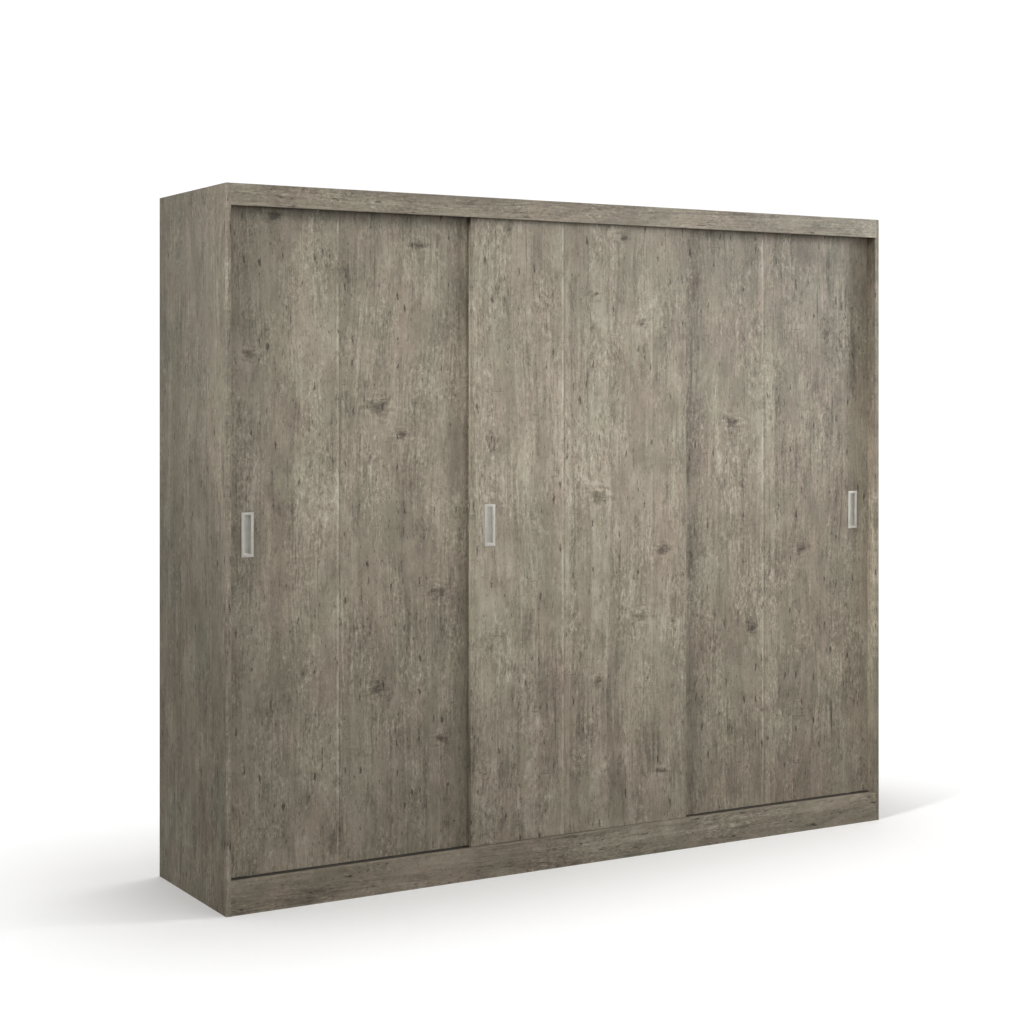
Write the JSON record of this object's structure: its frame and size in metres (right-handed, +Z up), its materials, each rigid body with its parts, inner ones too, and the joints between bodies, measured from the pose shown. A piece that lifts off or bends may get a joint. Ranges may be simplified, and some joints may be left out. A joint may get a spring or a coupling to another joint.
{
  "type": "sliding door wardrobe",
  "caption": "Wide low-sheen wardrobe in weathered grey-brown pine board with overlapping sliding doors, recessed metal pulls, shelves and hanging rails inside.",
  "frame": {"origin": "on the floor under the middle of the wardrobe", "axes": "+X to the right seen from the front, +Y from the doors to the back, +Z up"},
  "size_m": [2.44, 0.54, 2.1],
  "materials": {
    "decor": "matt printed weathered pine melamine",
    "hardboard": "plain printed hardboard",
    "beech": "raw beech",
    "satin_nickel": "satin",
    "zinc": "raw zinc die casting",
    "steel": "zinc plated",
    "rail_chrome": "bright",
    "track_aluminium": "anodised",
    "track_plastic": "extruded plastic",
    "nylon_white": "moulded nylon",
    "nylon_grey": "moulded nylon",
    "rubber": "matt"
  },
  "bodies": {
    "carcass": {"side_panel_left": "decor", "side_panel_right": "decor", "top_panel": "decor", "base_panel": "decor", "plinth_front": "decor", "plinth_rear": "decor", "plinth_supports": "decor", "fascia": "decor", "divider_left": "decor", "divider_right": "decor", "hat_shelf_left": "decor", "hat_shelf_centre": "decor", "hat_shelf_right": "decor", "centre_shelf_1": "decor", "centre_shelf_2": "decor", "centre_shelf_3": "decor", "back_left": "hardboard", "back_centre": "hardboard", "back_right": "hardboard", "top_track": "track_aluminium", "bottom_track": "track_plastic", "track_stops": "rubber", "hanging_rails": "rail_chrome", "rail_sockets": "satin_nickel", "dowels": "beech", "cam_bolts": "steel", "cam_locks": "zinc", "shelf_pins": "steel", "back_nails": "steel", "track_screws": "steel"},
    "door_left": {"door_left_panel": "decor", "door_left_handle": "satin_nickel", "door_left_roller_housings": "nylon_grey", "door_left_axles": "steel", "door_left_guide_housings": "nylon_grey", "door_left_screws": "steel"},
    "door_left_wheel_a": {"door_left_wheel_a": "nylon_white"},
    "door_left_guide_bolt_a": {"door_left_guide_bolt_a": "nylon_white"},
    "door_left_wheel_b": {"door_left_wheel_b": "nylon_white"},
    "door_left_guide_bolt_b": {"door_left_guide_bolt_b": "nylon_white"},
    "door_middle": {"door_middle_panel": "decor", "door_middle_handle": "satin_nickel", "door_middle_roller_housings": "nylon_grey", "door_middle_axles": "steel", "door_middle_guide_housings": "nylon_grey", "door_middle_screws": "steel"},
    "door_middle_wheel_a": {"door_middle_wheel_a": "nylon_white"},
    "door_middle_guide_bolt_a": {"door_middle_guide_bolt_a": "nylon_white"},
    "door_middle_wheel_b": {"door_middle_wheel_b": "nylon_white"},
    "door_middle_guide_bolt_b": {"door_middle_guide_bolt_b": "nylon_white"},
    "door_right": {"door_right_panel": "decor", "door_right_handle": "satin_nickel", "door_right_roller_housings": "nylon_grey", "door_right_axles": "steel", "door_right_guide_housings": "nylon_grey", "door_right_screws": "steel"},
    "door_right_wheel_a": {"door_right_wheel_a": "nylon_white"},
    "door_right_guide_bolt_a": {"door_right_guide_bolt_a": "nylon_white"},
    "door_right_wheel_b": {"door_right_wheel_b": "nylon_white"},
    "door_right_guide_bolt_b": {"door_right_guide_bolt_b": "nylon_white"}
  },
  "joints": [
    {"name": "door_left_slide", "type": "slide", "parent": "carcass", "child": "door_left", "axis": [1, 0, 0], "range_m": [0, 0.781]},
    {"name": "door_left_wheel_a_spin", "type": "hinge", "parent": "door_left", "child": "door_left_wheel_a", "pos_m": [-1.124, -0.219, 0.1048], "axis": [0, 1, 0], "continuous": true},
    {"name": "door_left_guide_bolt_a_slide", "type": "slide", "parent": "door_left", "child": "door_left_guide_bolt_a", "axis": [0, 0, 1], "range_m": [-0.013, 0]},
    {"name": "door_left_wheel_b_spin", "type": "hinge", "parent": "door_left", "child": "door_left_wheel_b", "pos_m": [-0.471, -0.219, 0.1048], "axis": [0, 1, 0], "continuous": true},
    {"name": "door_left_guide_bolt_b_slide", "type": "slide", "parent": "door_left", "child": "door_left_guide_bolt_b", "axis": [0, 0, 1], "range_m": [-0.013, 0]},
    {"name": "door_middle_slide", "type": "slide", "parent": "carcass", "child": "door_middle", "axis": [1, 0, 0], "range_m": [-0.797, 0.797]},
    {"name": "door_middle_wheel_a_spin", "type": "hinge", "parent": "door_middle", "child": "door_middle_wheel_a", "pos_m": [-0.3265, -0.242, 0.1048], "axis": [0, 1, 0], "continuous": true},
    {"name": "door_middle_guide_bolt_a_slide", "type": "slide", "parent": "door_middle", "child": "door_middle_guide_bolt_a", "axis": [0, 0, 1], "range_m": [-0.013, 0]},
    {"name": "door_middle_wheel_b_spin", "type": "hinge", "parent": "door_middle", "child": "door_middle_wheel_b", "pos_m": [0.3265, -0.242, 0.1048], "axis": [0, 1, 0], "continuous": true},
    {"name": "door_middle_guide_bolt_b_slide", "type": "slide", "parent": "door_middle", "child": "door_middle_guide_bolt_b", "axis": [0, 0, 1], "range_m": [-0.013, 0]},
    {"name": "door_right_slide", "type": "slide", "parent": "carcass", "child": "door_right", "axis": [1, 0, 0], "range_m": [-0.781, 0]},
    {"name": "door_right_wheel_a_spin", "type": "hinge", "parent": "door_right", "child": "door_right_wheel_a", "pos_m": [0.471, -0.219, 0.1048], "axis": [0, 1, 0], "continuous": true},
    {"name": "door_right_guide_bolt_a_slide", "type": "slide", "parent": "door_right", "child": "door_right_guide_bolt_a", "axis": [0, 0, 1], "range_m": [-0.013, 0]},
    {"name": "door_right_wheel_b_spin", "type": "hinge", "parent": "door_right", "child": "door_right_wheel_b", "pos_m": [1.124, -0.219, 0.1048], "axis": [0, 1, 0], "continuous": true},
    {"name": "door_right_guide_bolt_b_slide", "type": "slide", "parent": "door_right", "child": "door_right_guide_bolt_b", "axis": [0, 0, 1], "range_m": [-0.013, 0]}
  ],
  "couplings": [
    {"joint": "door_left_wheel_a_spin", "follows": "door_left_slide", "rad_per_m": 71.429},
    {"joint": "door_left_wheel_b_spin", "follows": "door_left_slide", "rad_per_m": 71.429},
    {"joint": "door_middle_wheel_a_spin", "follows": "door_middle_slide", "rad_per_m": 71.429},
    {"joint": "door_middle_wheel_b_spin", "follows": "door_middle_slide", "rad_per_m": 71.429},
    {"joint": "door_right_wheel_a_spin", "follows": "door_right_slide", "rad_per_m": 71.429},
    {"joint": "door_right_wheel_b_spin", "follows": "door_right_slide", "rad_per_m": 71.429}
  ]
}
